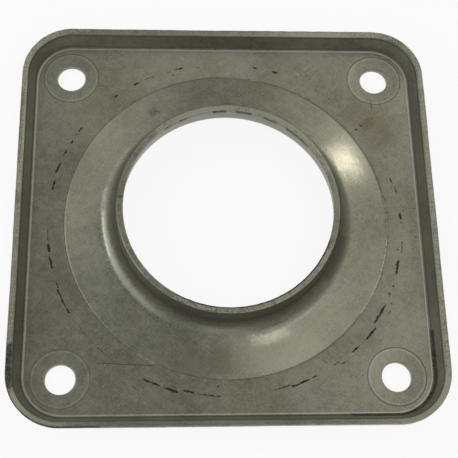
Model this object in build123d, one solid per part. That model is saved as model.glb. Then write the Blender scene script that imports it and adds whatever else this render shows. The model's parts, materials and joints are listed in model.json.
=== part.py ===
from build123d import *
from math import cos, radians, sin, sqrt, tan
import os

# Tube clamp base flange: one pressed sheet of mild steel, all sizes in millimetres.
# The origin is on the bore axis, on the flat underside that is bolted down, with +Z up.

# --- sheet --------------------------------------------------------------------
SHEET = 2.0             # thickness, the same through every bend

# --- bolt seats ---------------------------------------------------------------
BOLT = 8.0              # nominal bolt diameter
BOLT_PLAY = 1.0         # hole diameter over bolt diameter
BOLT_PITCH = 100.0      # square pattern of the four bolt holes
SEAT_DIAMETER = 17.8    # coined seat round each bolt hole
SEAT_DEPTH = 0.4        # depth of the seat's shallow dish at its middle
HOLE_BREAK = 0.4        # broken upper edge of each bolt hole

# --- tray ---------------------------------------------------------------------
SEAT_MARGIN = 2.44      # from a seat's edge to the corner line of floor and wall
FOOT_CORNER = 12.3      # corner radius of the tray at that line
FOOT_BEND = 1.0         # inside radius of the bend from floor to wall
WALL_LEAN = 22.0        # degrees that the wall leans outwards
RIM_HEIGHT = 5.8        # rim's outer edge above the floor
RIM_LAND = 1.8          # width of the rim's trimmed top, seen from above
RIM_LAND_SLOPE = 28.0   # degrees that the trimmed top falls inwards
TRIM_CORNER = 15.4      # corner radius of the trimmed outline
TRIM_EAR = 0.4          # how far the corner trims stand proud of the side trims
TRIM_EAR_RUN = 4.0      # length of a proud corner past the end of its arc
TRIM_EAR_RAMP = 30.0    # degrees of the ramp from a side trim to a proud corner
TRIM_SPARE = 2.0        # how far the wall runs past its trim before it is cut

# --- boss and collar ----------------------------------------------------------
TUBE = 63.5             # outside diameter of the tube that the collar takes
TUBE_PLAY = 0.3         # lip's inside diameter over tube diameter
LIP_BAND = 1.0          # height of the lip's inside that is sized to the tube
COLLAR_HEIGHT = 12.6    # collar lip above the floor
COLLAR_DRAFT = 8.5      # degrees that the collar wall leans inwards
COLLAR_BEND = 6.0       # upper radius of the bend from boss to collar
FLOOR_STRIP = 10.74     # flat floor between boss and wall, where it is narrowest
BOSS_SLOPE = 12.0       # degrees of rise of the boss
BOSS_BEND = 2.0         # upper radius of the crease where the boss starts

# --- sizes that follow --------------------------------------------------------
BOLT_HOLE = BOLT + BOLT_PLAY
LIP_BORE = TUBE + TUBE_PLAY
WALL_FOOT = BOLT_PITCH / 2 + SEAT_DIAMETER / 2 + SEAT_MARGIN
LAND_HEIGHT = RIM_HEIGHT - RIM_LAND * tan(radians(RIM_LAND_SLOPE))
LAND_INNER = WALL_FOOT + LAND_HEIGHT * tan(radians(WALL_LEAN))
TRIM_HALF = LAND_INNER + RIM_LAND
BOSS_RADIUS = WALL_FOOT - FLOOR_STRIP
JOIN_RADIUS = BOSS_RADIUS + FLOOR_STRIP / 3     # circle where boss and floor are joined
JOIN_HALF = WALL_FOOT - FLOOR_STRIP / 3         # square where floor and wall are joined
THROUGH = 4 * (SHEET + COLLAR_HEIGHT)           # length of a tool that cuts right through


def offset_corner(corner, before, after, thickness):
    """Corner of the sheet's underside, below a corner of its upper side.

    before and after are the upper side's unit normals on the two sides of the corner.
    """
    share = thickness / (1 + before[0] * after[0] + before[1] * after[1])
    x = corner[0] - share * (before[0] + after[0])
    z = corner[1] - share * (before[1] + after[1])
    return (x, z)


def upper_normal(slope):
    """Unit normal of an upper side that rises towards the axis by slope degrees."""
    return (sin(radians(slope)), cos(radians(slope)))


def section(upper, lower, upper_radii, lower_radii):
    """Face in the XZ plane between two bent lines that start and end together."""
    top = FilletPolyline(*[(x, 0, z) for x, z in upper], radius=upper_radii)
    bottom = FilletPolyline(*[(x, 0, z) for x, z in lower], radius=lower_radii)
    ends = [Line(top @ 0, bottom @ 0), Line(top @ 1, bottom @ 1)]
    return make_face([*top.edges(), *bottom.edges(), *ends])


def boss_section():
    """Half section of floor edge, boss and collar, at constant sheet thickness."""
    floor = upper_normal(0)
    boss = upper_normal(BOSS_SLOPE)
    wall = upper_normal(90 - COLLAR_DRAFT)
    draft = tan(radians(COLLAR_DRAFT))
    rise = tan(radians(BOSS_SLOPE))
    lip_z = SHEET + COLLAR_HEIGHT
    lip_inner = LIP_BORE / 2 - LIP_BAND * draft
    lip_outer = lip_inner + SHEET / cos(radians(COLLAR_DRAFT))

    # The boss line and the collar's outer line cross at the collar's upper corner.
    reach = COLLAR_HEIGHT - (BOSS_RADIUS - lip_outer) * rise
    foot_r = lip_outer + draft * reach / (1 - draft * rise)
    foot = (foot_r, SHEET + (BOSS_RADIUS - foot_r) * rise)

    start = (JOIN_RADIUS, SHEET)
    crease = (BOSS_RADIUS, SHEET)
    upper = [start, crease, foot, (lip_outer, lip_z)]
    lower = [
        (JOIN_RADIUS, 0),
        offset_corner(crease, floor, boss, SHEET),
        offset_corner(foot, boss, wall, SHEET),
        (lip_inner, lip_z),
    ]
    upper_radii = [BOSS_BEND, COLLAR_BEND]
    lower_radii = [BOSS_BEND + SHEET, COLLAR_BEND + SHEET]
    return section(upper, lower, upper_radii, lower_radii)


def boss_and_collar():
    """Turned boss and collar, with the lip's inside sized to the tube."""
    turned = revolve(boss_section(), axis=Axis.Z)
    return turned - Cylinder(LIP_BORE / 2, THROUGH)


def rim_section():
    """Section of floor edge and tray wall, running past the trimmed outline."""
    floor = upper_normal(0)
    wall = upper_normal(WALL_LEAN - 90)
    foot = (WALL_FOOT, SHEET)
    outer_foot = offset_corner(foot, floor, wall, SHEET)
    land_inner = (LAND_INNER, SHEET + LAND_HEIGHT)

    # Both sides of the wall run on past the trim, so that the trim cuts them everywhere.
    edge = TRIM_HALF + TRIM_EAR + TRIM_SPARE
    top_z = land_inner[1] + (edge - LAND_INNER) * tan(radians(RIM_LAND_SLOPE))
    bottom_z = (edge - outer_foot[0]) / tan(radians(WALL_LEAN))
    upper = [(JOIN_HALF, SHEET), foot, land_inner, (edge, top_z)]
    lower = [(JOIN_HALF, 0), outer_foot, (edge, bottom_z)]
    return section(upper, lower, [FOOT_BEND, 0], [FOOT_BEND + SHEET])


def tray_wall():
    """Wall round the square floor: four straight runs and four turned corners."""
    profile = rim_section()
    middle = WALL_FOOT - FOOT_CORNER
    straight = extrude(profile, amount=middle, dir=(0, 1, 0), both=True)
    turned = revolve(profile.moved(Location((0, middle, 0))),
                     axis=Axis((middle, middle, 0), (0, 0, 1)), revolution_arc=90)
    pieces = []
    for quarter in range(4):
        turn = Rotation(0, 0, 90 * quarter)
        pieces += [turn * straight, turn * turned]
    return pieces


def tray_floor():
    """Flat floor between the tray wall and the boss."""
    corner = JOIN_HALF - (WALL_FOOT - FOOT_CORNER)
    square = RectangleRounded(2 * JOIN_HALF, 2 * JOIN_HALF, corner)
    return extrude(square - Circle(JOIN_RADIUS), amount=SHEET)


def trim_prism():
    """Square prism that the rim is trimmed to, with proud corners."""
    half = TRIM_HALF + TRIM_EAR
    outline = RectangleRounded(2 * half, 2 * half, TRIM_CORNER)
    side_run = 2 * (half - TRIM_CORNER - TRIM_EAR_RUN)
    side_cut = Pos(0, TRIM_EAR / 2 - half, 0) * Trapezoid(side_run, TRIM_EAR, TRIM_EAR_RAMP)
    for quarter in range(4):
        outline -= Rotation(0, 0, 90 * quarter) * side_cut
    return extrude(outline, amount=THROUGH)


def seat_tool():
    """Turned tool for one bolt seat: shallow dish, broken edge and hole."""
    hole, edge = BOLT_HOLE / 2, SEAT_DIAMETER / 2
    ball = (edge ** 2 + SEAT_DEPTH ** 2) / (2 * SEAT_DEPTH)

    def on_dish(r):
        """Point of the dish at a distance r from the hole's axis."""
        return (r, 0, SHEET - SEAT_DEPTH + ball - sqrt(ball ** 2 - r ** 2))

    dish = ThreePointArc(on_dish(hole), on_dish((hole + edge) / 2), on_dish(edge))
    sides = Polyline(dish @ 1, (edge, 0, THROUGH), (0, 0, THROUGH), (0, 0, -THROUGH),
                     (hole, 0, -THROUGH), dish @ 0)
    profile = make_face([dish, *sides.edges()])
    corner = profile.vertices().sort_by_distance(dish @ 0)[0]
    return revolve(chamfer(corner, HOLE_BREAK), axis=Axis.Z)


def flange_plate():
    """The whole pressing, as one solid."""
    plate = tray_floor() + boss_and_collar() + tray_wall()
    plate = plate & trim_prism()
    seat = seat_tool()
    return plate - [place * seat for place in GridLocations(BOLT_PITCH, BOLT_PITCH, 2, 2)]


os.makedirs("parts", exist_ok=True)
plate = flange_plate()
plate.label = "flange_plate"
export_step(plate, "parts/flange_plate.step")
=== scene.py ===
"""The looks of a tube clamp base flange: one pressed sheet of bare steel.

Lengths inside the classes are millimetres in the frame of the CAD model, which has its origin on the
bore axis, on the flat underside, with +Z up. They turn into metres where a Blender operator takes them.
"""

import json
import logging
import math
from collections.abc import Callable, Iterable
from dataclasses import dataclass
from enum import Enum

import bpy
import numpy as np
from mathutils import Matrix, Vector


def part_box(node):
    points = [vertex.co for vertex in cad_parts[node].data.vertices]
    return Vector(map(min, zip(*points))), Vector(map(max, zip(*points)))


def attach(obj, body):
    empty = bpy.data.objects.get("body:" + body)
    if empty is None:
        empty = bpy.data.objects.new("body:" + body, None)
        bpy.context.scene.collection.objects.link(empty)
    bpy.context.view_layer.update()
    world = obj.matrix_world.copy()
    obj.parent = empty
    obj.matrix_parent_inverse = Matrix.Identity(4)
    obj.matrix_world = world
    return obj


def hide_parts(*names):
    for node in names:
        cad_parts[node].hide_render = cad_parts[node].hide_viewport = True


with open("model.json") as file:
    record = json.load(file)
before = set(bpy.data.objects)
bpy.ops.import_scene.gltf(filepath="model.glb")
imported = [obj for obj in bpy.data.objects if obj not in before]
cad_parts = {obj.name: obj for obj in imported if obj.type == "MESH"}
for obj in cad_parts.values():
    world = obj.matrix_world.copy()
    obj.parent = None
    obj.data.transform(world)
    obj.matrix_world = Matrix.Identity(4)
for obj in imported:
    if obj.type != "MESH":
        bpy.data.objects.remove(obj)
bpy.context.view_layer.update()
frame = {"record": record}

MM = 0.001                      # metres in a millimetre
Z_AXIS = (0.0, 0.0, 1.0)

log = logging.getLogger("flange")

Point = tuple[float, float]
Colour = tuple[float, float, float]


# --- modelling ---------------------------------------------------------------------------------


def begin(name: str) -> bpy.types.Object:
    """Starts a mesh object of one vertex at the origin, in edit mode with that vertex selected.

    Args:
        name: the new object's name.

    Returns:
        The object, which stays at the origin.
    """
    bpy.ops.object.select_all(action="DESELECT")
    bpy.ops.mesh.primitive_circle_add(vertices=3, radius=MM)
    piece = bpy.context.object
    piece.name = name
    bpy.ops.object.mode_set(mode="EDIT")
    bpy.ops.mesh.select_mode(type="VERT")
    bpy.ops.mesh.select_all(action="SELECT")
    bpy.ops.mesh.merge(type="CENTER")
    return piece


@dataclass
class Bend:
    """One corner of a section, rounded by a radius.

    Attributes:
        out: distance of the sharp corner from the section's foot point, level and outwards.
        up: its height.
        radius: the bend's radius, or 0 for a sharp corner.
        parts: edges along the bend.
        run: edges along the straight run that leads to it.
    """

    out: float
    up: float
    radius: float = 0.0
    parts: int = 1
    run: int = 1


@dataclass
class Pen:
    """Draws a section in edit mode, as a chain of edges that grows from one selected vertex.

    Attributes:
        foot: the section's foot point, on the underside.
        out: the level direction in which the section's distances are counted.
    """

    foot: Vector
    out: Vector

    def place(self, point: Point) -> Vector:
        """Gives a section point's place in space, in millimetres."""
        return self.foot + self.out * point[0] + Vector(Z_AXIS) * point[1]

    def step(self, start: Point, end: Point, parts: int) -> None:
        """Draws a straight run of equal edges.

        Args:
            start: where it starts.
            end: where it ends.
            parts: how many edges it has.
        """
        move = (self.place(end) - self.place(start)) / parts
        if move.length < 1e-6:
            return
        for _ in range(parts):
            bpy.ops.mesh.extrude_vertices_move(TRANSFORM_OT_translate={"value": move * MM})

    def draw(self, bends: list[Bend]) -> None:
        """Draws the section through its bends, from the first to the last.

        Args:
            bends: the section's corners in order; the two ends have no radius.
        """
        here = (bends[0].out, bends[0].up)
        bpy.ops.transform.translate(value=self.place(here) * MM)
        for before, bend, after in zip(bends, bends[1:], bends[2:] + [None]):
            corner = Vector((bend.out, bend.up))
            if bend.radius == 0 or after is None:
                self.step(here, tuple(corner), bend.run)
                here = tuple(corner)
                continue
            arriving = (corner - Vector((before.out, before.up))).normalized()
            leaving = (Vector((after.out, after.up)) - corner).normalized()
            turn = arriving.angle_signed(leaving)
            reach = bend.radius * math.tan(abs(turn) / 2)
            first, last = corner - arriving * reach, corner + leaving * reach
            side = Vector((-arriving.y, arriving.x)) * math.copysign(bend.radius, -turn)
            centre = first + side
            self.step(here, tuple(first), bend.run)
            axis = self.out.cross(Vector(Z_AXIS))
            bpy.ops.mesh.spin(steps=bend.parts, angle=turn, center=self.place(centre) * MM, axis=axis)
            here = tuple(last)


def go_round(degrees: float) -> None:
    """Copies a turned sector round the Z axis until it closes, twice as much each time.

    Args:
        degrees: what the sector covers, a half, a quarter or so on of a full turn.
    """
    while degrees < 360:
        bpy.ops.mesh.select_all(action="SELECT")
        bpy.ops.mesh.duplicate()
        bpy.ops.transform.rotate(value=math.radians(degrees), orient_axis="Z", center_override=(0, 0, 0))
        degrees *= 2
    bpy.ops.mesh.select_all(action="SELECT")
    bpy.ops.mesh.remove_doubles(threshold=0.002 * MM)


def pick_edges(piece: bpy.types.Object, wanted: Callable[[Vector], bool]) -> None:
    """Selects the open edges whose two ends are both wanted, and nothing else.

    Args:
        piece: the object in edit mode.
        wanted: tells if a vertex at a place, in millimetres, is wanted.
    """
    bpy.ops.mesh.select_mode(type="EDGE")
    bpy.ops.mesh.select_all(action="DESELECT")
    bpy.ops.mesh.select_non_manifold(extend=False, use_wire=False, use_multi_face=False,
                                     use_non_contiguous=False, use_verts=False)
    bpy.ops.object.mode_set(mode="OBJECT")
    mesh = piece.data
    for edge in mesh.edges:
        ends = (mesh.vertices[i].co / MM for i in edge.vertices)
        edge.select = edge.select and all(wanted(end) for end in ends)
    chosen = {i for edge in mesh.edges if edge.select for i in edge.vertices}
    for vertex in mesh.vertices:
        vertex.select = vertex.index in chosen
    bpy.ops.object.mode_set(mode="EDIT")


@dataclass
class Sheet:
    """The sheet that the flange is pressed from.

    Attributes:
        thickness: the same through every bend.
    """

    thickness: float = 2.0

    def under(self, corner: Point, before: float, after: float) -> Point:
        """Finds the corner of the underside that lies below a corner of the upper side.

        Args:
            corner: the upper corner, as distance and height.
            before: degrees from straight up to the upper side's normal before the corner, outwards.
            after: the same behind the corner.

        Returns:
            The lower corner, as distance and height.
        """
        first = Vector((math.sin(math.radians(before)), math.cos(math.radians(before))))
        second = Vector((math.sin(math.radians(after)), math.cos(math.radians(after))))
        shift = (first + second) * self.thickness / (1 + first.dot(second))
        return (corner[0] - shift.x, corner[1] - shift.y)


@dataclass
class Boss:
    """The conical boss with its drawn collar.

    Attributes:
        sheet: what it is pressed from.
        bore: inside radius of the lip.
        height: top of the lip above the underside.
        radius: where the boss rises from the floor.
        slope: degrees of rise of the boss.
        draft: degrees that the collar leans outwards.
        draw: upper radius of the bend from boss to collar.
        band: height of the lip's inside that is sized to the tube.
        join: radius of the circle where the boss part ends.
        score: depth of the fine groove that the die leaves where the boss starts.
        nick: depth of the line that the die leaves at the foot of the collar.
        steps: edges round a full turn.
    """

    sheet: Sheet
    bore: float
    height: float
    radius: float = 50.6
    slope: float = 12.0
    draft: float = 8.5
    draw: float = 6.0
    band: float = 1.0
    join: float = 59.8
    score: float = 0.06
    nick: float = 0.14
    steps: int = 576

    @property
    def lean(self) -> float:
        """Level distance per height of the leaning collar wall."""
        return math.tan(math.radians(self.draft))

    @property
    def lip_outer(self) -> float:
        """Outer radius of the lip."""
        across = self.sheet.thickness / math.cos(math.radians(self.draft))
        return self.bore - self.band * self.lean + across

    @property
    def foot(self) -> Point:
        """Corner of the boss line and the collar's outer line.

        Returns:
            Its distance and height.
        """
        rise = math.tan(math.radians(self.slope))
        reach = self.height - self.sheet.thickness - (self.radius - self.lip_outer) * rise
        out = self.lip_outer + self.lean * reach / (1 - self.lean * rise)
        return (out, self.sheet.thickness + (self.radius - out) * rise)

    def section(self) -> list[Bend]:
        """Lists the corners of the section, over the top and back along the underside.

        Returns:
            The corners in order.
        """
        top, rise = self.sheet.thickness, math.tan(math.radians(self.slope))
        wall = 90 - self.draft
        crease = (self.radius, top)
        crease_under = self.sheet.under(crease, 0, self.slope)
        foot_under = self.sheet.under(self.foot, self.slope, wall)
        reach = self.draw * math.tan(math.radians((wall - self.slope) / 2))
        bend_end = self.foot[1] + reach * math.cos(math.radians(self.draft)) + 0.06
        wall_out = self.lip_outer + (self.height - bend_end) * self.lean
        return [
            Bend(self.join, top),
            Bend(self.radius + 0.4, top, 0.1, 2, 16),
            Bend(self.radius, top - self.score, 0.15, 2),
            Bend(self.radius - 0.45, top + 0.45 * rise, 0.1, 2),
            Bend(*self.foot, self.draw, 14, 15),
            Bend(wall_out + 0.03, bend_end, 0.05, 1),
            Bend(wall_out - self.nick, bend_end + 0.10, 0.05, 1),
            Bend(wall_out + 0.02, bend_end + 0.26, 0.05, 1),
            Bend(self.lip_outer + 0.02, self.height - 0.02, 0.22, 3, 6),
            Bend(self.bore, self.height - 0.02, 0.12, 2, 7),
            Bend(self.bore, self.height - self.band, 0.0, 1, 3),
            Bend(*foot_under, self.draw + top, 9, 4),
            Bend(*crease_under, 4.0, 3, 3),
            Bend(self.join, 0.0, 0.0, 1, 2),
        ]

    def build(self) -> bpy.types.Object:
        """Turns the section round the bore axis.

        Returns:
            The part, open at its join.
        """
        piece = begin("boss")
        Pen(Vector(), Vector((1, 0, 0))).draw(self.section())
        bpy.ops.mesh.select_all(action="SELECT")
        bpy.ops.mesh.spin(steps=self.steps // 8, angle=math.pi / 4, center=(0, 0, 0), axis=Z_AXIS)
        go_round(45)
        bpy.ops.object.mode_set(mode="OBJECT")
        return piece


@dataclass
class Tray:
    """The floor's edge and the leaning rim with its trimmed top.

    Attributes:
        sheet: what it is pressed from.
        foot: where floor and wall meet, from the middle.
        corner: the tray's corner radius at that line.
        bend: inside radius of the bend from floor to wall.
        lean: degrees that the wall leans outwards.
        land: width of the trimmed top.
        land_slope: degrees that the trimmed top falls outwards.
        rim: height of the rim's outer edge above the floor.
        join: half the square where the tray part ends.
        step: length of an edge along the rim.
    """

    sheet: Sheet
    foot: float = 61.34
    corner: float = 12.3
    bend: float = 1.0
    lean: float = 22.0
    land: float = 1.8
    land_slope: float = 28.0
    rim: float = 5.8
    join: float = 60.15
    step: float = 0.75

    @property
    def middle(self) -> float:
        """Distance of a corner's centre from the two middle planes."""
        return self.foot - self.corner

    @property
    def land_height(self) -> float:
        """Height of the land's inner edge above the floor."""
        return self.rim - self.land * math.tan(math.radians(self.land_slope))

    @property
    def land_inner(self) -> float:
        """Distance of the land's inner edge from the middle."""
        return self.foot + self.land_height * math.tan(math.radians(self.lean))

    @property
    def trim(self) -> float:
        """Distance of the trimmed side from the middle."""
        return self.land_inner + self.land

    @property
    def under_foot(self) -> Point:
        """Corner of the underside and the rim's outer side."""
        return self.sheet.under((self.foot, self.sheet.thickness), 0, self.lean - 90)

    def section(self) -> list[Bend]:
        """Lists the corners of the section, over the rim and back along the underside.

        Returns:
            The corners in order.
        """
        top = self.sheet.thickness
        out, up = self.under_foot
        trim_under = up + (self.trim - out) / math.tan(math.radians(self.lean))
        return [
            Bend(self.join, top),
            Bend(self.foot, top, self.bend, 7, 1),
            Bend(self.land_inner, top + self.land_height, 0.25, 3, 6),
            Bend(self.trim, top + self.rim, 0.08, 2, 6),
            Bend(self.trim, trim_under, 0.08, 2, 2),
            Bend(out, up, self.bend + top, 5, 3),
            Bend(self.join, 0.0, 0.0, 1, 2),
        ]

    def build(self) -> bpy.types.Object:
        """Draws the section, carries it along one side and round one corner, and copies that.

        Returns:
            The part, open at its join.
        """
        piece = begin("tray")
        run = 2 * self.middle
        run_steps = round(run / self.step)
        arc_steps = round((self.corner + 4) * math.pi / 2 / self.step * 1.25)
        Pen(Vector((0, -self.middle, 0)), Vector((1, 0, 0))).draw(self.section())
        bpy.ops.mesh.select_all(action="SELECT")
        along = Vector((0, run / run_steps, 0))
        centre = Vector((self.middle, self.middle, 0))
        bpy.ops.mesh.extrude_repeat(steps=run_steps, offset=along * MM)
        bpy.ops.mesh.spin(steps=arc_steps, angle=-math.pi / 2, center=centre * MM, axis=Z_AXIS)
        go_round(90)
        bpy.ops.object.mode_set(mode="OBJECT")
        return piece


@dataclass
class Seat:
    """One coined seat with its bolt hole.

    Attributes:
        sheet: what it is pressed into.
        at: the hole's place on the floor.
        hole: the hole's radius.
        edge: the seat's radius.
        depth: how deep the dish is at its middle.
        breach: the broken upper edge of the hole.
        join: radius of the circle where the seat part ends.
        steps: edges round a full turn.
    """

    sheet: Sheet
    at: Point
    hole: float
    edge: float = 8.9
    depth: float = 0.4
    breach: float = 0.4
    join: float = 9.3
    steps: int = 108

    def dish(self, out: float) -> float:
        """Gives the height of the dish at a distance from the hole's axis."""
        ball = (self.edge ** 2 + self.depth ** 2) / (2 * self.depth)
        return self.sheet.thickness - self.depth + ball - math.sqrt(ball ** 2 - out ** 2)

    def section(self) -> list[Bend]:
        """Lists the corners of the section, from the floor into the hole.

        Returns:
            The corners in order.
        """
        top = self.sheet.thickness
        rings = [self.edge - 0.25 - i * (self.edge - 0.25 - self.hole - self.breach) / 7 for i in range(8)]
        return [
            Bend(self.join, top),
            Bend(self.edge, top, 0.06, 1),
            Bend(self.edge - 0.12, top - 0.05, 0.06, 1),
            *(Bend(out, self.dish(out) - 0.03) for out in rings[:-1]),
            Bend(self.hole, self.dish(self.hole), self.breach, 4),
            Bend(self.hole, 0.0, 0.0, 1, 3),
        ]

    def build(self) -> bpy.types.Object:
        """Turns the section round the hole's axis.

        Returns:
            The part, open at its join.
        """
        piece = begin("seat")
        centre = Vector((*self.at, 0))
        Pen(centre, Vector((1, 0, 0))).draw(self.section())
        bpy.ops.mesh.select_all(action="SELECT")
        bpy.ops.mesh.spin(steps=self.steps, angle=math.tau, center=centre * MM, axis=Z_AXIS)
        bpy.ops.mesh.select_all(action="SELECT")
        bpy.ops.mesh.remove_doubles(threshold=0.001 * MM)
        bpy.ops.object.mode_set(mode="OBJECT")
        return piece


@dataclass
class Pressing:
    """The whole flange: boss, tray and four seats in one closed sheet.

    Attributes:
        boss: the boss with its collar.
        tray: the floor's edge and the rim.
        seats: the four bolt seats.
    """

    boss: Boss
    tray: Tray
    seats: list[Seat]

    def build(self) -> bpy.types.Object:
        """Models the parts, joins them and closes the floor between them.

        Returns:
            The pressing, one closed sheet.
        """
        parts = [self.boss.build(), self.tray.build(), *(seat.build() for seat in self.seats)]
        bpy.ops.object.select_all(action="DESELECT")
        for part in parts:
            part.select_set(True)
        bpy.context.view_layer.objects.active = parts[0]
        bpy.ops.object.join()
        piece = bpy.context.object
        piece.name = piece.data.name = "flange_pressing"
        bpy.ops.object.mode_set(mode="EDIT")
        for height in (self.boss.sheet.thickness, 0.0):
            pick_edges(piece, lambda place: abs(place.z - height) < 0.01)
            bpy.ops.mesh.fill(use_beauty=True)
        bpy.ops.mesh.select_mode(type="VERT")
        bpy.ops.mesh.select_all(action="SELECT")
        bpy.ops.mesh.remove_doubles(threshold=0.001 * MM)
        bpy.ops.mesh.normals_make_consistent(inside=False)
        bpy.ops.object.mode_set(mode="OBJECT")
        bpy.ops.object.shade_smooth_by_angle(angle=math.radians(35))
        return piece


# --- wear --------------------------------------------------------------------------------------


class Shape(Enum):
    """The outline that a mark's distances are counted in."""

    ROUND = "distance from the bore axis"
    SQUARE = "distance of the rounded square through the point"


@dataclass(frozen=True)
class Mark:
    """A patch between two directions and two distances.

    Attributes:
        first: degrees from +X towards +Y where it starts.
        last: degrees where it ends, going on from first.
        inner: its smallest distance.
        outer: its largest distance.
        strength: how strong it is.
        soft: how far its edge fades.
        shape: what the distances are counted in.
        low: height that it starts at.
        high: height that it ends at.
    """

    first: float
    last: float
    inner: float
    outer: float
    strength: float = 1.0
    soft: float = 1.0
    shape: Shape = Shape.ROUND
    low: float = -1.0
    high: float = 99.0


@dataclass(frozen=True)
class Scuff:
    """A short dark rub mark that follows a circle about the bore axis.

    Attributes:
        first: degrees from +X towards +Y where it starts.
        last: degrees where it ends.
        radius: the circle's radius.
        strength: how strong it is.
    """

    first: float
    last: float
    radius: float
    strength: float


class Skin:
    """Numpy arrays of the finished mesh, in millimetres, and the painting and moving of its points."""

    def __init__(self, piece: bpy.types.Object, tray: Tray) -> None:
        """Reads the mesh.

        Args:
            piece: the pressing.
            tray: where the rim is, which sets the rounded square.
        """
        self.mesh = piece.data
        count = len(self.mesh.vertices)
        flat = np.empty(count * 3, dtype=np.float32)
        self.mesh.vertices.foreach_get("co", flat)
        self.place = flat.reshape(count, 3).astype(np.float64) / MM
        self.x, self.y, self.z = self.place.T
        self.round = np.hypot(self.x, self.y)
        self.way = np.degrees(np.arctan2(self.y, self.x)) % 360
        past = np.maximum(np.abs(self.place[:, :2]) - tray.middle, 0)
        reach = np.hypot(*past.T)
        self.square = tray.middle + reach
        safe = np.maximum(reach, 1e-9)[:, None]
        self.out = np.sign(self.place[:, :2]) * past / safe

    def window(self, mark: Mark) -> np.ndarray:
        """Gives how much each point lies in a mark.

        Args:
            mark: the mark.

        Returns:
            Its strength inside, which falls to 0 over its soft edge.
        """
        distance = self.round if mark.shape is Shape.ROUND else self.square
        span = (mark.last - mark.first) % 360
        turned = (self.way - mark.first + (360 - span) / 2) % 360 - (360 - span) / 2
        along = np.radians(np.minimum(turned, span - turned)) * self.round
        across = np.minimum(distance - mark.inner, mark.outer - distance)
        above = np.minimum(self.z - mark.low, mark.high - self.z)
        nearest = np.minimum(np.minimum(along, across), above)
        share = np.clip(nearest / mark.soft + 0.5, 0, 1)
        return mark.strength * share * share * (3 - 2 * share)

    def paint(self, name: str, values: np.ndarray) -> None:
        """Stores one number for each point of the mesh.

        Args:
            name: what the material reads it by.
            values: the numbers.
        """
        layer = self.mesh.attributes.new(name, "FLOAT", "POINT")
        layer.data.foreach_set("value", values.astype(np.float32))

    def paint_marks(self, name: str, marks: Iterable[Mark]) -> None:
        """Paints the strongest of the marks at each point.

        Args:
            name: what the material reads it by.
            marks: the marks.
        """
        values = np.zeros(len(self.z))
        for mark in marks:
            values = np.maximum(values, self.window(mark))
        self.paint(name, values)

    def paint_scuffs(self, scuffs: Iterable[Scuff]) -> None:
        """Paints the strength of the scuffs, and how far outside its circle each point is.

        Args:
            scuffs: the rub marks.
        """
        values = np.zeros(len(self.z))
        outside = np.full(len(self.z), 3.0)
        for scuff in scuffs:
            span = (scuff.radius - 1.6, scuff.radius + 1.6)
            here = self.window(Mark(scuff.first, scuff.last, *span, scuff.strength, 0.9))
            near = (here > values) | ((values == 0) & (np.abs(self.round - scuff.radius) < 2.6))
            outside = np.where(near, self.round - scuff.radius, outside)
            values = np.maximum(values, here)
        self.paint("scuff", values * (np.abs(self.z - 2) < 0.3))
        self.paint("scuff_out", outside)

    def ripple(self, grain: float, seed: int) -> np.ndarray:
        """Gives a repeatable uneven number from -1 to 1 for each point.

        Args:
            grain: the size of its bumps.
            seed: tells one pattern from the next.

        Returns:
            The numbers.
        """
        draws = np.random.default_rng(seed)
        total = np.zeros(len(self.z))
        for _ in range(10):
            turn, shift = draws.uniform(0, math.tau, 2)
            tilt = draws.uniform(-1, 1)
            size = grain * draws.uniform(0.7, 1.6)
            along = self.x * math.cos(turn) + self.y * math.sin(turn) + self.z * tilt
            total += np.sin(along * math.tau / (2 * size) + shift)
        return np.clip(total / 4, -1, 1)

    def write(self, limit: float, top: float) -> None:
        """Puts the moved points back, no further out than the sheet's own box.

        Args:
            limit: the largest level distance from a middle plane.
            top: the largest height.
        """
        self.place[:, :2] = np.clip(self.place[:, :2], -limit, limit)
        self.place[:, 2] = np.clip(self.place[:, 2], 0, top)
        self.mesh.vertices.foreach_set("co", (self.place * MM).astype(np.float32).ravel())
        self.mesh.update()


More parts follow.
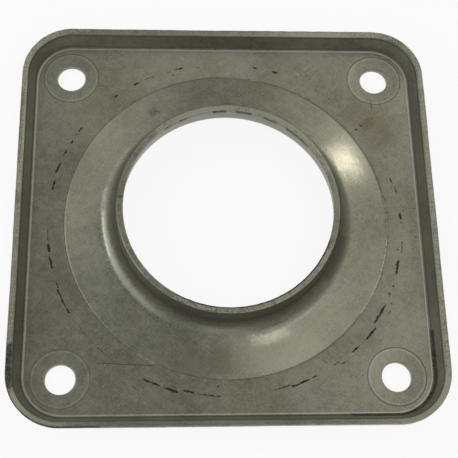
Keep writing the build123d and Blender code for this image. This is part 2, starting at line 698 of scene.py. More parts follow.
@dataclass(frozen=True)
class Wear:
    """What the tools, the store and handling have left on the flange.

    Attributes:
        limit: the largest level distance that an ear may reach.
        top: the largest height.
        ears: where the trimmed edge stands out or back, and by how much.
        cut: where the trimmed or pierced metal is bright and grainy.
        dirt_and_shade: where dark grime or oil lies, and where shade, shadows and a dark reflection are
            painted.
        stain_and_reflection: where the skin is brown, from stains and from a painted dark reflection on the
            boss.
        rub_and_highlight: where the skin is worn bright, and where highlights are painted on the score ring,
            the draw bend and the boss.
        gaps: where the bore's upper edge is broken away.
        scuffs: the ring of short rub marks on the floor.
    """

    limit: float
    top: float
    ears: tuple[Mark, ...] = (
        Mark(45.5, 54.0, 64, 66, 0.36, 3.0),
        Mark(126.0, 130.5, 64, 66, 0.36, 2.5),
        Mark(36.0, 38.5, 64, 66, 0.22, 2.0),
        Mark(300.0, 330.0, 64, 68, 0.24, 4.0),
        Mark(218.0, 236.0, 64, 68, -0.20, 4.0),
        Mark(237.5, 243.0, 64, 66, 0.10, 2.0),
    )
    cut: tuple[Mark, ...] = (
        Mark(307.0, 321.5, 63.4, 66, 1.0, 0.8, Shape.SQUARE, 6.3),
        Mark(321.0, 46.0, 63.7, 66, 0.62, 0.8, Shape.SQUARE, 6.3),
        Mark(34.5, 38.0, 64.3, 66, 0.95, 0.6, Shape.SQUARE, 6.3),
        Mark(38.0, 56.0, 63.6, 66, 0.55, 0.8, Shape.SQUARE, 6.3),
        Mark(124.0, 145.0, 63.6, 66, 0.55, 0.8, Shape.SQUARE, 6.3),
        Mark(221.0, 233.5, 63.3, 66, 1.0, 0.8, Shape.SQUARE, 6.3),
        Mark(145.0, 213.0, 63.7, 64.4, 0.48, 0.5, Shape.SQUARE, 6.3),
        Mark(287.0, 307.0, 63.2, 63.8, 0.40, 0.4, Shape.SQUARE, 6.3),
        Mark(240.0, 340.0, 32.2, 34.4, 0.60, 0.6, Shape.ROUND, 14.0),
        Mark(20.0, 132.0, 31.0, 34.4, 0.80, 0.6, Shape.ROUND, 14.2),
        Mark(98.0, 120.0, 31.0, 34.4, 1.0, 0.6, Shape.ROUND, 13.9),
        Mark(195.0, 225.0, 33.3, 34.4, 0.8, 0.4, Shape.ROUND, 14.2),
    )
    dirt_and_shade: tuple[Mark, ...] = (
        Mark(119.0, 125.0, 41.5, 46.0, 0.50, 3.0),
        # painted dark reflection on the near side of the boss
        Mark(240.0, 275.0, 40.5, 49.5, 0.28, 4.0),
        # painted shade line along the inner edge of the rim's top, near side
        Mark(244.0, 318.0, 63.0, 63.35, 0.9, 0.4, Shape.SQUARE, 6.3),
        Mark(146.0, 166.0, 63.9, 66, 0.50, 2.4, Shape.SQUARE, 4.0),
        Mark(212.0, 220.5, 63.0, 67, 0.70, 2.0, Shape.SQUARE, 5.5),
        Mark(219.0, 240.0, 64.7, 66, 0.8, 0.3, Shape.SQUARE, 6.3),
        Mark(235.0, 287.0, 63.8, 66, 0.35, 0.8, Shape.SQUARE, 6.3),
        # painted shadow of the right wall on the floor
        Mark(343.0, 18.0, 56.8, 60.8, 0.36, 2.6, Shape.SQUARE, -3.0, 7.0),
        # painted shade in the crease at the foot of the collar, near side
        Mark(200.0, 350.0, 34.3, 35.0, 0.95, 0.3, Shape.ROUND, 8.8, 10.2),
        # painted shade in the broken gaps of the bore's upper edge
        Mark(38.0, 55.0, 31.0, 32.4, 1.0, 0.4, Shape.ROUND, 13.5, 14.4),
        Mark(61.0, 69.0, 31.0, 32.4, 1.0, 0.4, Shape.ROUND, 13.5, 14.4),
        Mark(76.0, 85.0, 31.0, 32.4, 1.0, 0.4, Shape.ROUND, 13.5, 14.4),
        Mark(90.0, 98.0, 31.0, 32.4, 1.0, 0.4, Shape.ROUND, 13.3, 14.4),
        Mark(113.0, 118.0, 31.0, 32.4, 0.9, 0.4, Shape.ROUND, 13.6, 14.4),
        Mark(123.0, 127.0, 31.0, 32.4, 0.9, 0.4, Shape.ROUND, 13.6, 14.4),
        Mark(174.2, 176.0, 32.0, 34.0, 0.7, 0.5, Shape.ROUND, 14.2),
        # painted shade under the burr at the bore's upper edge, near side
        Mark(240.0, 340.0, 31.0, 32.4, 0.8, 0.4, Shape.ROUND, 14.2),
        # painted shadow at the foot of the wall in the near right corner
        Mark(300.0, 330.0, 60.9, 62.2, 0.75, 0.6, Shape.SQUARE, 1.9, 3.6),
    )
    stain_and_reflection: tuple[Mark, ...] = (
        Mark(34.0, 38.0, 55.0, 60.0, 1.0, 1.5),
        Mark(27.0, 45.0, 53.0, 61.0, 0.45, 3.0),
        # painted dark reflection on the near side of the boss, in brown
        Mark(262.0, 270.0, 41.0, 49.0, 0.55, 2.5),
        Mark(325.0, 350.0, 35.2, 37.5, 0.75, 1.2),
        Mark(173.5, 176.5, 63.5, 66, 0.8, 0.8, Shape.SQUARE, 6.3),
    )
    rub_and_highlight: tuple[Mark, ...] = (
        Mark(62.0, 66.0, 57.0, 60.0, 0.45, 0.9),
        Mark(88.1, 88.8, 52.1, 52.6, 0.8, 0.4),
        Mark(110.1, 111.0, 60.0, 60.6, 1.0, 0.4),
        Mark(137.5, 138.5, 52.4, 53.0, 1.0, 0.4),
        Mark(73.6, 74.6, 45.6, 46.3, 1.0, 0.4),
        Mark(183.6, 184.5, 43.7, 44.3, 1.0, 0.4),
        Mark(189.5, 190.5, 43.8, 44.4, 1.0, 0.4),
        Mark(211.5, 212.5, 47.7, 48.4, 1.0, 0.4),
        # painted highlights on the lit stretches of the groove where the boss starts
        Mark(323.0, 10.0, 50.25, 50.95, 0.7, 0.4),
        Mark(75.0, 90.0, 50.25, 50.95, 0.6, 0.4),
        Mark(237.0, 244.0, 50.25, 50.95, 0.7, 0.4),
        # painted highlights along the start of the draw bend into the collar
        Mark(165.0, 200.0, 38.0, 39.8, 0.55, 0.8),
        Mark(140.0, 250.0, 38.3, 39.4, 0.35, 0.8),
        Mark(295.0, 315.0, 38.4, 39.2, 0.35, 0.6),
        # painted highlights, with smoother skin, where the lamps reflect on the boss
        Mark(15.0, 38.0, 39.0, 47.5, 0.34, 4.5),
        Mark(278.0, 297.0, 37.5, 42.0, 0.36, 3.0),
    )
    gaps: tuple[Mark, ...] = (
        Mark(38.0, 55.0, 31.0, 32.6, 0.26, 0.5, Shape.ROUND, 13.5, 14.45),
        Mark(61.0, 69.0, 31.0, 32.6, 0.26, 0.5, Shape.ROUND, 13.5, 14.45),
        Mark(76.0, 85.0, 31.0, 32.6, 0.26, 0.5, Shape.ROUND, 13.5, 14.45),
        Mark(90.0, 98.0, 31.0, 32.6, 0.28, 0.5, Shape.ROUND, 13.3, 14.45),
        Mark(113.0, 118.0, 31.0, 32.6, 0.22, 0.5, Shape.ROUND, 13.6, 14.45),
        Mark(123.0, 127.0, 31.0, 32.6, 0.22, 0.5, Shape.ROUND, 13.6, 14.45),
    )
    scuffs: tuple[Scuff, ...] = (
        Scuff(0.5, 2.5, 55.2, 1.0), Scuff(10, 12, 55.3, 0.7), Scuff(13.5, 15.5, 54.9, 0.6),
        Scuff(49.5, 51.5, 55.3, 0.3), Scuff(55, 57, 55.2, 0.25), Scuff(71, 73, 55.5, 1.0),
        Scuff(78.5, 80, 55.4, 0.8), Scuff(98.5, 99.5, 55.0, 0.5), Scuff(104, 107, 55.8, 0.7),
        Scuff(108.5, 109.5, 55.5, 0.5), Scuff(115, 118, 56.0, 0.4), Scuff(120, 122.5, 56.0, 0.6),
        Scuff(128.5, 130, 56.0, 0.8), Scuff(145, 147, 56.0, 0.8), Scuff(148, 149, 56.0, 0.6),
        Scuff(150.5, 151.8, 56.0, 1.0), Scuff(154.5, 157, 56.0, 0.7), Scuff(159.5, 163.5, 56.0, 0.8),
        Scuff(166, 169.5, 55.5, 0.9), Scuff(183, 187, 55.6, 0.4), Scuff(188, 191, 55.7, 1.0),
        Scuff(192, 196.5, 55.8, 0.8), Scuff(200.5, 204, 56.1, 0.5), Scuff(203.5, 212, 56.4, 0.7),
        Scuff(218, 222, 56.5, 0.4), Scuff(226, 230, 56.4, 0.4), Scuff(243, 245, 56.4, 0.8),
        Scuff(245.5, 248.5, 56.2, 0.7), Scuff(250, 254, 56.3, 1.0), Scuff(255.5, 259, 55.4, 0.8),
        Scuff(260, 268, 55.6, 0.5), Scuff(283, 290, 55.3, 0.5), Scuff(289, 295, 55.9, 0.8),
        Scuff(296, 297.5, 55.9, 0.6), Scuff(304, 306, 56.0, 0.5), Scuff(306, 308, 57.2, 0.5),
        Scuff(311, 314, 56.4, 0.7), Scuff(317, 322, 56.7, 0.9), Scuff(323, 330, 55.5, 0.9),
        Scuff(327, 329, 57.8, 0.4), Scuff(333, 334.5, 55.6, 0.7), Scuff(336.5, 337.5, 55.5, 0.6),
        Scuff(341, 346, 55.1, 0.9), Scuff(349, 353, 55.5, 0.4),
    )

    def trim_edge(self, skin: Skin, tray: Tray) -> None:
        """Moves the trimmed edge out or back along the rim's own slopes.

        Args:
            skin: the mesh's points.
            tray: where the rim is.
        """
        land_rise = math.tan(math.radians(tray.land_slope))
        wall_rise = 1 / math.tan(math.radians(tray.lean))
        out, _ = tray.under_foot
        floor = tray.sheet.thickness
        low = (tray.trim - out) * wall_rise
        high = floor + tray.rim
        amount = 0.06 * skin.ripple(19.0, 3) + 0.03 * skin.ripple(2.5, 4)
        for ear in self.ears:
            amount = amount + skin.window(ear)
        amount = np.minimum(amount, self.limit - tray.trim)
        face = skin.square > tray.trim - 0.1
        land = (skin.z > floor + tray.land_height - 0.1) & ~face
        share = np.clip((skin.square - tray.land_inner) / tray.land, 0, 1) * land
        share = np.where(face & (skin.z > low - 0.2), 1.0, share)
        down = np.clip((high - skin.z) / (high - low), 0, 1) * face
        skin.place[:, :2] += skin.out * (share * amount)[:, None]
        skin.place[:, 2] += share * amount * (land_rise + (wall_rise - land_rise) * down)
        skin.place[:, 2] += 0.025 * skin.ripple(0.9, 5) * np.clip(share * 2, 0, 1) * (down < 0.1)

    def break_lip(self, skin: Skin, boss: Boss) -> None:
        """Breaks the upper edge of the bore and roughens the cut top of the lip.

        Args:
            skin: the mesh's points.
            boss: where the lip is.
        """
        outward = skin.place[:, :2] / np.maximum(skin.round, 1e-9)[:, None]
        top = (skin.z > boss.height - 0.25) & (skin.round < boss.lip_outer + 0.1)
        depth = np.zeros(len(skin.z))
        for gap in self.gaps:
            depth = np.maximum(depth, skin.window(gap))
        depth *= 0.75 + 0.5 * skin.ripple(0.8, 6)
        edge = np.clip(1 - (skin.round - boss.bore) / 0.6, 0, 1) * top
        depth += edge * 0.06 * (1 + skin.ripple(1.1, 7))
        skin.place[:, :2] += outward * depth[:, None]
        skin.place[:, 2] -= top * (0.03 + 0.03 * skin.ripple(1.3, 8))
        skin.place[:, 2] -= edge * 0.04 * (1 + skin.ripple(0.9, 9))

    def apply(self, piece: bpy.types.Object, boss: Boss, tray: Tray) -> None:
        """Moves the worn points of the pressing and paints its marks.

        Args:
            piece: the pressing.
            boss: where the boss and the lip are.
            tray: where the rim is.
        """
        skin = Skin(piece, tray)
        for name, marks in (("cut", self.cut), ("dirt_and_shade", self.dirt_and_shade), ("stain_and_reflection", self.stain_and_reflection),
                            ("rub_and_highlight", self.rub_and_highlight)):
            skin.paint_marks(name, marks)
        skin.paint_scuffs(self.scuffs)
        self.trim_edge(skin, tray)
        self.break_lip(skin, boss)
        skin.write(self.limit, self.top)


# --- shader ------------------------------------------------------------------------------------


class Number:
    """A number socket that takes part in Python arithmetic; each operation adds one Math node."""

    def __init__(self, tree: "Tree", socket: bpy.types.NodeSocket) -> None:
        """Wraps a socket of a tree."""
        self.tree = tree
        self.socket = socket

    def maths(self, operation: str, *inputs: "Number | float") -> "Number":
        """Adds a Math node and gives its result."""
        return self.tree.number("ShaderNodeMath", {"operation": operation}, dict(enumerate(inputs)))

    def __add__(self, other: "Number | float") -> "Number":
        """Adds."""
        return self.maths("ADD", self, other)

    def __radd__(self, other: float) -> "Number":
        """Adds to a plain number."""
        return self.maths("ADD", other, self)

    def __sub__(self, other: "Number | float") -> "Number":
        """Subtracts."""
        return self.maths("SUBTRACT", self, other)

    def __rsub__(self, other: float) -> "Number":
        """Subtracts from a plain number."""
        return self.maths("SUBTRACT", other, self)

    def __mul__(self, other: "Number | float") -> "Number":
        """Multiplies."""
        return self.maths("MULTIPLY", self, other)

    def __rmul__(self, other: float) -> "Number":
        """Multiplies a plain number."""
        return self.maths("MULTIPLY", other, self)

    def __abs__(self) -> "Number":
        """Drops the sign."""
        return self.maths("ABSOLUTE", self)

    def least(self, other: "Number | float") -> "Number":
        """Takes the smaller of two."""
        return self.maths("MINIMUM", self, other)

    def most(self, other: "Number | float") -> "Number":
        """Takes the larger of two."""
        return self.maths("MAXIMUM", self, other)

    def rise(self, low: float, high: float) -> "Number":
        """Rises smoothly from 0 at low to 1 at high, or falls where low is the larger.

        Args:
            low: where it is 0.
            high: where it is 1.

        Returns:
            The share.
        """
        settings = {"interpolation_type": "SMOOTHSTEP"}
        if low < high:
            return self.tree.number("ShaderNodeMapRange", settings, {0: self, 1: low, 2: high})
        return self.tree.number("ShaderNodeMapRange", settings, {0: self, 1: high, 2: low, 3: 1.0, 4: 0.0})

    def band(self, middle: float, width: float, soft: float) -> "Number":
        """Is 1 within a band about middle and falls to 0 over soft on each side."""
        return abs(self - middle).rise(width / 2 + soft, width / 2)


class Tree:
    """The node tree of one material, and the one way that nodes are added to it."""

    def __init__(self, name: str) -> None:
        """Starts an empty material."""
        self.material = bpy.data.materials.new(name)
        self.material.use_nodes = True
        self.nodes = self.material.node_tree.nodes
        self.links = self.material.node_tree.links
        self.nodes.clear()

    def node(self, kind: str, settings: dict[str, object] | None = None,
             sockets: dict[str | int, object] | None = None) -> bpy.types.Node:
        """Adds a node, sets it up and fills its sockets.

        Args:
            kind: the node's type.
            settings: its properties, which are set first.
            sockets: a value or a link for each named or numbered input.

        Returns:
            The node.
        """
        made = self.nodes.new(kind)
        for key, value in (settings or {}).items():
            setattr(made, key, value)
        for key, value in (sockets or {}).items():
            if isinstance(value, Number):
                value = value.socket
            if isinstance(value, bpy.types.NodeSocket):
                self.links.new(value, made.inputs[key])
            else:
                made.inputs[key].default_value = value
        return made

    def number(self, kind: str, settings: dict[str, object] | None = None,
               sockets: dict[str | int, object] | None = None, output: str | int = 0) -> Number:
        """Adds a node and gives one of its outputs as a number."""
        return Number(self, self.node(kind, settings, sockets).outputs[output])

    def mix(self, share: Number | float, first: object, second: object, blend: str = "MIX") -> object:
        """Mixes two colours.

        Args:
            share: how much of the second there is.
            first: a colour or its socket.
            second: a colour or its socket.
            blend: the way they mix.

        Returns:
            The mixed colour's socket.
        """
        def whole(colour: object) -> object:
            """Adds the fourth channel to a plain colour."""
            return (*colour, 1.0) if isinstance(colour, tuple) and len(colour) == 3 else colour

        settings = {"data_type": "RGBA", "blend_type": blend}
        sockets = {0: share, 6: whole(first), 7: whole(second)}
        return self.node("ShaderNodeMix", settings, sockets).outputs[2]

    def attribute(self, name: str) -> Number:
        """Reads one of the mesh's painted attributes."""
        return self.number("ShaderNodeAttribute", {"attribute_name": name}, {}, "Fac")

    def lengthways(self, vector: object) -> Number:
        """Takes the length of a vector."""
        return self.number("ShaderNodeVectorMath", {"operation": "LENGTH"}, {0: vector}, "Value")

    def join(self, x: Number | float, y: Number | float, z: Number | float) -> bpy.types.NodeSocket:
        """Makes a vector of three numbers."""
        return self.node("ShaderNodeCombineXYZ", {}, {0: x, 1: y, 2: z}).outputs[0]

    def grain(self, place: object, size: float, detail: float = 3.0, roughness: float = 0.5,
              stretch: tuple[float, float, float] = (1.0, 1.0, 1.0), turn: float = 0.0) -> Number:
        """Gives noise from 0 to 1 with bumps of a size in millimetres.

        Args:
            place: the vector it is read at, in millimetres.
            size: the size of its bumps.
            detail: octaves of finer noise.
            roughness: how strong these are.
            stretch: how much longer the bumps are on each axis.
            turn: degrees by which the pattern is turned about Z.

        Returns:
            The noise.
        """
        scale = tuple(1 / (size * s) for s in stretch)
        if turn:
            place = self.node("ShaderNodeMapping", {}, {
                "Vector": place, "Rotation": (0.0, 0.0, math.radians(turn))}).outputs[0]
        at = self.node("ShaderNodeMapping", {}, {"Vector": place, "Scale": scale}).outputs[0]
        sockets = {"Vector": at, "Scale": 1.0, "Detail": detail, "Roughness": roughness}
        return self.number("ShaderNodeTexNoise", {"noise_dimensions": "3D"}, sockets)


class Zones:
    """Where a point of the flange lies, as shader numbers in millimetres, masks of its regions, and masks of
    its painted highlight and shade lines.
    """

    def __init__(self, tree: Tree, boss: Boss, tray: Tray) -> None:
        """Adds the nodes that tell the places apart.

        Args:
            tree: the material.
            boss: where the boss and the collar are.
            tray: where the floor and the rim are.
        """
        self.tree = tree
        metres = tree.node("ShaderNodeTexCoord").outputs["Object"]
        sockets = {0: metres, "Scale": 1 / MM}
        self.place = tree.node("ShaderNodeVectorMath", {"operation": "SCALE"}, sockets).outputs[0]
        split = tree.node("ShaderNodeSeparateXYZ", {}, {0: self.place})
        x, y, z = (Number(tree, split.outputs[i]) for i in range(3))
        self.x, self.y, self.z = x, y, z
        self.radius = self.distance((0.0, 0.0))
        past = [(abs(side) - tray.middle).most(0.0) for side in (x, y)]
        square = tree.lengthways(tree.join(past[0], past[1], 0.0)) + tray.middle
        floor, land = boss.sheet.thickness, boss.sheet.thickness + tray.land_height
        on_wall = square.rise(tray.foot - 0.1, tray.foot + 0.1)
        self.wall = z.rise(floor + 0.5, floor + 0.9) * on_wall * z.rise(land + 0.15, land - 0.1)
        past_wall = square.rise(tray.land_inner - 0.1, tray.land_inner + 0.1)
        self.land = z.rise(land - 0.1, land + 0.1) * past_wall
        self.lip = z.rise(boss.height - 0.35, boss.height - 0.2)
        self.collar = z.rise(boss.foot[1] + 2.2, boss.foot[1] + 3.2) * (1 - self.lip)
        # painted highlight: a bright line where the floor starts to bend up into the rim's wall
        low = z.rise(floor + 0.5, floor + 0.3) * z.rise(floor - 0.3, floor - 0.2)
        self.foot_highlight = square.band(tray.foot - 0.62, 0.10, 0.22) * low
        # painted shade: a dark line in the crease at the foot of the rim's wall
        low = z.rise(floor - 0.3, floor) * z.rise(floor + 1.6, floor + 0.8)
        self.foot_shade = square.band(tray.foot + 0.05, 0.15, 0.35) * low
        # painted shade: a dark line along the inner edge of the rim's trimmed top
        self.land_shade = square.band(tray.land_inner - 0.02, 0.10, 0.28) * z.rise(floor + 3.4, floor + 4.0)
        # painted shade: a dark line in the fine groove where the boss starts
        self.score = self.radius.band(boss.radius, 0.10, 0.16) * z.band(floor, 0.3, 0.2)

    def distance(self, middle: Point) -> Number:
        """Gives the level distance from an upright axis."""
        return self.tree.lengthways(self.tree.join(self.x - middle[0], self.y - middle[1], 0.0))


class Noises:
    """The patterns of the skin, from -0.5 to 0.5, from wide clouds to fine specks."""

    def __init__(self, tree: Tree, zone: Zones) -> None:
        """Adds the noise nodes.

        Args:
            tree: the material.
            zone: the places that they are read at.
        """
        self.cloud = tree.grain(zone.place, 19.0, 3.0, 0.55) - 0.5
        self.mottle = tree.grain(zone.place, 2.6, 3.0, 0.6) - 0.5
        self.fine = tree.grain(zone.place, 0.75, 2.0, 0.6) - 0.5
        self.speck = tree.grain(zone.place, 0.42, 1.0, 0.5) - 0.5
        self.pits = tree.grain(zone.place, 0.55, 2.0, 0.7) - 0.5
        drawn = tree.join(zone.radius, zone.x * 0.06, zone.y * 0.06)
        self.rings = tree.grain(drawn, 0.45, 2.0, 0.6) - 0.5
        shares = ((35.0, 0.40), (-48.0, 0.35), (80.0, 0.25))
        lines = [tree.grain(zone.place, 0.30, 2.0, 0.6, (26.0, 1.0, 4.0), turn) * share
                 for turn, share in shares]
        self.satin = lines[0] + lines[1] + lines[2] - 0.5


@dataclass(frozen=True)
class Scratch:
    """A thin straight scratch on the floor.

    Attributes:
        start: one end of it.
        end: the other end.
        width: how wide it is.
        strength: how dark it is.
    """

    start: Point
    end: Point
    width: float = 0.16
    strength: float = 0.6


@dataclass(frozen=True)
class BareSteel:
    """Bare pressed mild steel with the marks of the press and the store.

    Attributes:
        grey: its colour where it is clean.
        dark: its colour in the darker clouds of the skin, and the painted shade on the rim's wall and the
            collar.
        brown: its colour where a thin film has stained it, and in the painted dark reflection on the boss.
        black: the colour of old oil, grime and scuff marks, and of the painted shade lines and shadows.
        raw: the colour of cut metal.
        bright: the colour of worn metal, and of the painted highlights.
        metal: how metallic it is.
        roughness: of the smooth skin.
        relief: depth of the finest unevenness.
        scratches: the longer single scratches.
    """

    grey: Colour = (0.305, 0.299, 0.236)
    dark: Colour = (0.150, 0.147, 0.108)
    brown: Colour = (0.135, 0.105, 0.062)
    black: Colour = (0.012, 0.011, 0.009)
    raw: Colour = (0.350, 0.338, 0.262)
    bright: Colour = (0.62, 0.60, 0.52)
    metal: float = 0.7
    roughness: float = 0.35
    relief: float = 0.03
    scratches: tuple[Scratch, ...] = (
        Scratch((-39.4, -45.3), (-21.5, -46.2), 0.20, 0.75),
        Scratch((27.5, -44.5), (29.5, -45.9), 0.18, 0.6),
        Scratch((30.0, -43.6), (31.2, -44.6), 0.14, 0.5),
        Scratch((15.2, -49.8), (15.8, -51.8), 0.16, 0.5),
        Scratch((48.6, 38.4), (48.4, 43.0), 0.22, 0.6),
        Scratch((21.6, -20.5), (20.0, -20.9), 0.20, 0.3),
    )

    def scratch_mask(self, tree: Tree, x: Number, y: Number, scratch: Scratch) -> Number:
        """Gives where one scratch lies.

        Args:
            tree: the material; not used.
            x: level place.
            y: level place across it.
            scratch: the scratch.

        Returns:
            1 on its line and 0 elsewhere.
        """
        along = Vector(scratch.end) - Vector(scratch.start)
        way = along.normalized()
        dx, dy = x - scratch.start[0], y - scratch.start[1]
        side = abs(dx * way.y - dy * way.x)
        run = dx * way.x + dy * way.y
        half = along.length / 2
        return (side.rise(scratch.width, scratch.width * 0.4)
                * abs(run - half).rise(half + 0.3, half - 0.6) * scratch.strength)

    def material(self, boss: Boss, tray: Tray, seats: list[Seat]) -> bpy.types.Material:
        """Builds the material.

        Args:
            boss: where the boss and the collar are.
            tray: where the floor and the rim are.
            seats: where the bolt seats are.

        Returns:
            The material.
        """
        tree = Tree("bare_steel")
        zone = Zones(tree, boss, tray)
        noise = Noises(tree, zone)
        cut, dirt_and_shade, stain_and_reflection, rub_and_highlight, scuff, scuff_out = (
            tree.attribute(name) for name in ("cut", "dirt_and_shade", "stain_and_reflection", "rub_and_highlight", "scuff", "scuff_out"))
        edge = zone.land.most(zone.lip)

        shade = noise.cloud + noise.mottle * 0.6 + noise.fine * 0.6 + noise.speck * 0.8
        shade = shade + noise.satin * 1.3 + noise.rings * 0.25 * zone.radius.rise(52.0, 46.0)
        colour = tree.mix((0.30 - shade).rise(-0.25, 0.95), self.grey, self.dark)
        # brown from stains and from a painted dark reflection on the boss's near side
        brownish = stain_and_reflection * (noise.mottle * 0.8 + 0.9).least(1.0)
        film = tree.grain(zone.place, 11.0, 4.0, 0.65).rise(0.55, 0.85)
        colour = tree.mix((brownish * 0.75 + film * 0.22).least(1.0), colour, self.brown)
        raw = (cut * 1.5 + noise.pits * 4.2 + noise.mottle * 1.2 - 0.35).rise(0.1, 0.75) * edge
        colour = tree.mix(edge * cut.rise(0.05, 0.5) * 0.55, colour, self.dark)
        colour = tree.mix(raw * 0.9, colour, self.raw)
        # lighter where the skin is worn and where highlights are painted
        rubbed_and_highlit = (rub_and_highlight * 1.3 + noise.fine * 1.4 - 0.25).rise(0.1, 0.9)
        colour = tree.mix(rubbed_and_highlit * 0.5, colour, self.bright)
        # painted highlight: a bright line where the floor starts to bend up into the rim's wall
        colour = tree.mix(zone.foot_highlight * (noise.fine * 0.6 + 0.65), colour, self.bright)

        off_line = abs(scuff_out + (noise.mottle * 1.4 + noise.fine * 0.5) * 0.6)
        rub = (scuff * 1.9 - off_line * 4.2 + noise.fine * 4.2 - 0.15).rise(0.0, 0.3) * scuff.rise(0.02, 0.2)
        # grime, and painted shade, shadows and a dark reflection, from the painted marks
        dirt_and_shade_share = (dirt_and_shade * 1.35 + noise.fine * 1.1 + noise.mottle * 0.6 - 0.3).rise(0.0, 0.9)
        dark = (dirt_and_shade_share * dirt_and_shade.rise(0.02, 0.2)).most(rub * 0.95)
        # painted shade lines at the foot of the rim's wall, along the inner edge of its trimmed top, and in
        # the groove where the boss starts except where its painted highlight lies
        dark = dark.most(zone.foot_shade * 0.62).most(zone.land_shade * 0.55)
        dark = dark.most(zone.score * (0.55 - rub_and_highlight * 0.7).most(0.0))
        for seat in seats:
            reach = zone.distance(seat.at)
            # painted highlight just inside each seat's edge, and a painted shade line at its step
            coined = reach.band(seat.edge - 0.55, 0.3, 0.3)
            outline = reach.band(seat.edge - 0.05, 0.08, 0.24) * zone.z.rise(1.0, 1.4)
            colour = tree.mix(coined * (noise.fine * 0.30 + 0.15), colour, self.bright)
            dark = dark.most(outline * (noise.mottle * 0.6 + 0.55))
        for scratch in self.scratches:
            dark = dark.most(self.scratch_mask(tree, zone.x, zone.y, scratch))
        dark = dark.most(tree.grain(zone.place, 1.3, 0.0).rise(0.86, 0.90) * 0.75)
        colour = tree.mix(dark.most(rub), colour, self.black)
        # painted shade: the rim's wall a little darker and the collar's walls much darker
        colour = tree.mix(zone.wall * 0.08 + zone.collar * 0.45, colour, self.dark)

        height = noise.fine * 0.5 + noise.speck * 0.3 + noise.satin * 0.7 + noise.mottle * 0.8
        height = height + (noise.pits + 0.5) * 1.6 * cut * edge - rub * 0.8 - dark * 0.3
        bump = tree.node("ShaderNodeBump", {}, {
            "Strength": 0.6, "Distance": self.relief * MM, "Height": height})
        rough = self.roughness + noise.fine * 0.16 + noise.mottle * 0.14 + noise.satin * 0.2
        rough = rough + raw * 0.14 + dark * 0.25 + brownish * 0.1 - rub_and_highlight * 0.30
        skin = tree.node("ShaderNodeBsdfPrincipled", {}, {
            "Base Color": colour,
            "Metallic": self.metal - dark * 0.6,
            "Roughness": rough,
            "Normal": bump.outputs[0],
        })
        tree.node("ShaderNodeOutputMaterial", {}, {"Surface": skin.outputs[0]})
        return tree.material


# --- studio ------------------------------------------------------------------------------------


@dataclass(frozen=True)
class Lamp:
    """One soft lamp, aimed at the middle of the flange.

    Attributes:
        name: what it is.
        azimuth: degrees from +X towards +Y.
        elevation: degrees above the floor.
        distance: from the flange, in metres.
        size: its width and height, in metres.
        power: in watts.
        colour: of its light.
    """

    name: str
    azimuth: float
    elevation: float
    distance: float
    size: Point
    power: float
    colour: Colour = (1.0, 1.0, 1.0)

    def build(self) -> None:
        """Hangs the lamp."""
        around, above = math.radians(self.azimuth), math.radians(self.elevation)
        level = math.cos(above)
        away = Vector((math.cos(around) * level, math.sin(around) * level, math.sin(above)))
        light = bpy.data.lights.new(self.name, "AREA")
        light.shape = "RECTANGLE"
        light.size, light.size_y = self.size
        light.energy = self.power
        light.color = self.colour
        lamp = bpy.data.objects.new(self.name, light)
        lamp.location = away * self.distance
        lamp.rotation_euler = away.to_track_quat("Z", "Y").to_euler()
        bpy.context.scene.collection.objects.link(lamp)


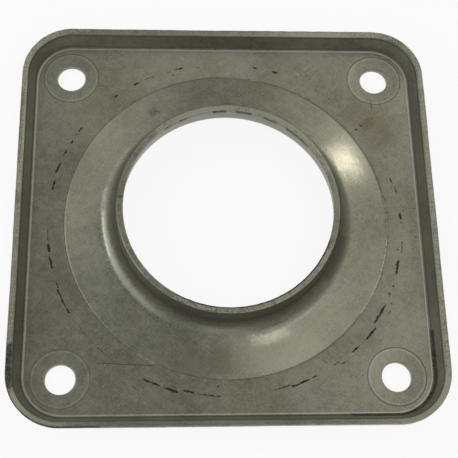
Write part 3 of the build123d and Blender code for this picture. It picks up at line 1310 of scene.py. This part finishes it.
@dataclass(frozen=True)
class Studio:
    """The pale floor, the soft light and the camera.

    Attributes:
        lamps: the lamps.
        sky: strength of the soft light from all round.
        sky_colour: its colour.
        eye: the camera's place.
        aim: what it looks at.
        roll: degrees that it is turned about its own axis.
        lens: its focal length on a 36 mm sensor.
    """

    lamps: tuple[Lamp, ...]
    sky: float = 0.31
    sky_colour: Colour = (0.97, 1.0, 1.0)
    eye: tuple[float, float, float] = (-17.9, -114.7, 297.1)
    aim: tuple[float, float, float] = (0.64, -2.94, 2.0)
    roll: float = 8.83
    lens: float = 79.57

    @staticmethod
    def seen(tree: Tree) -> Number:
        """Is 1 for what the camera sees straight on or in a reflection.

        Args:
            tree: the material.

        Returns:
            1 or 0.
        """
        path = tree.node("ShaderNodeLightPath")
        rays = [Number(tree, path.outputs[name]) for name in
                ("Is Camera Ray", "Is Glossy Ray", "Is Transmission Ray")]
        return rays[0].most(rays[1]).most(rays[2])

    def floor(self) -> None:
        """Lays the pale floor just under the flange."""
        bpy.ops.object.select_all(action="DESELECT")
        bpy.ops.mesh.primitive_plane_add(size=6.0, location=(0, 0, -0.03 * MM))
        floor = bpy.context.object
        floor.name = "floor"
        tree = Tree("pale_floor")
        paper = tree.node("ShaderNodeBsdfDiffuse", {}, {"Color": (0.8, 0.8, 0.8, 1.0)})
        white = tree.node("ShaderNodeEmission", {}, {"Color": (1.0, 1.0, 1.0, 1.0), "Strength": 1.0})
        sockets = {0: self.seen(tree) * 0.90, 1: paper.outputs[0], 2: white.outputs[0]}
        both = tree.node("ShaderNodeMixShader", {}, sockets)
        tree.node("ShaderNodeOutputMaterial", {}, {"Surface": both.outputs[0]})
        floor.data.materials.append(tree.material)

    def world(self) -> None:
        """Fills the room with soft light."""
        world = bpy.data.worlds.new("room")
        bpy.context.scene.world = world
        world.use_nodes = True
        sky = world.node_tree.nodes["Background"]
        sky.inputs["Color"].default_value = (*self.sky_colour, 1.0)
        sky.inputs["Strength"].default_value = self.sky

    def camera(self) -> None:
        """Sets the camera up."""
        eye, aim = Vector(self.eye) * MM, Vector(self.aim) * MM
        data = bpy.data.cameras.new("camera")
        data.sensor_width = 36.0
        data.lens = self.lens
        data.clip_start = 0.01
        camera = bpy.data.objects.new("camera", data)
        roll = Matrix.Rotation(math.radians(self.roll), 3, "Z").to_quaternion()
        camera.location = eye
        camera.rotation_euler = ((eye - aim).to_track_quat("Z", "Y") @ roll).to_euler()
        bpy.context.scene.collection.objects.link(camera)
        bpy.context.scene.camera = camera

    def build(self) -> None:
        """Sets up the whole studio."""
        self.floor()
        self.world()
        self.camera()
        for lamp in self.lamps:
            lamp.build()
        bpy.context.scene.view_settings.view_transform = "Standard"


def main() -> None:
    """Builds the flange and the studio."""
    logging.basicConfig(level=logging.INFO, format="%(name)s: %(message)s")
    mounts = {mount["name"]: mount["dims"] for mount in frame["record"]["mounts"]}
    bolts = mounts["base_bolts"]
    half_pitch = (bolts["spacing_x_mm"] / 2, bolts["spacing_y_mm"] / 2)
    sheet = Sheet()
    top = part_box("flange_plate")[1]
    boss = Boss(sheet, bore=mounts["tube_bore"]["r_mm"], height=top[2] / MM)
    tray = Tray(sheet)
    seats = [Seat(sheet, (x * half_pitch[0], y * half_pitch[1]), bolts["hole_r_mm"])
             for x in (1, -1) for y in (1, -1)]
    piece = Pressing(boss, tray, seats).build()
    Wear(limit=top[0] / MM - 0.01, top=top[2] / MM).apply(piece, boss, tray)
    piece.data.materials.clear()
    piece.data.materials.append(BareSteel().material(boss, tray, seats))
    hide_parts("flange_plate")
    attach(piece, "root")
    log.info("%s: %d faces", piece.name, len(piece.data.polygons))

    wide, warm, cool = (0.3, 0.3), (1.0, 0.96, 0.88), (0.96, 1.0, 1.0)
    lamps = (
        Lamp("far right", 54, 35, 0.5, wide, 0.15, warm),
        Lamp("far right high", 51, 57, 0.5, wide, 0.05, warm),
        Lamp("right high", 0, 57, 0.5, wide, 0.24, warm),
        Lamp("far left", 126, 35, 0.5, wide, 0.22, cool),
        Lamp("left", 166, 34, 0.5, (0.2, 0.2), 0.30, cool),
        Lamp("near left", 198, 35, 0.5, wide, 0.38, cool),
        Lamp("near right high", 309, 57, 0.5, wide, 0.22, cool),
        Lamp("far", 90, 50, 0.26, (0.05, 0.05), 0.010, warm),
        Lamp("key", 46, 38, 0.29, (0.02, 0.02), 0.036, warm),
        Lamp("top", -47, 68, 0.275, (0.02, 0.02), 0.012, warm),
        Lamp("front", 265, 28, 0.5, wide, 0.17, cool),
    )
    Studio(lamps).build()
    log.info("studio: %d lamps", len(lamps))


if __name__ == "__main__":
    main()
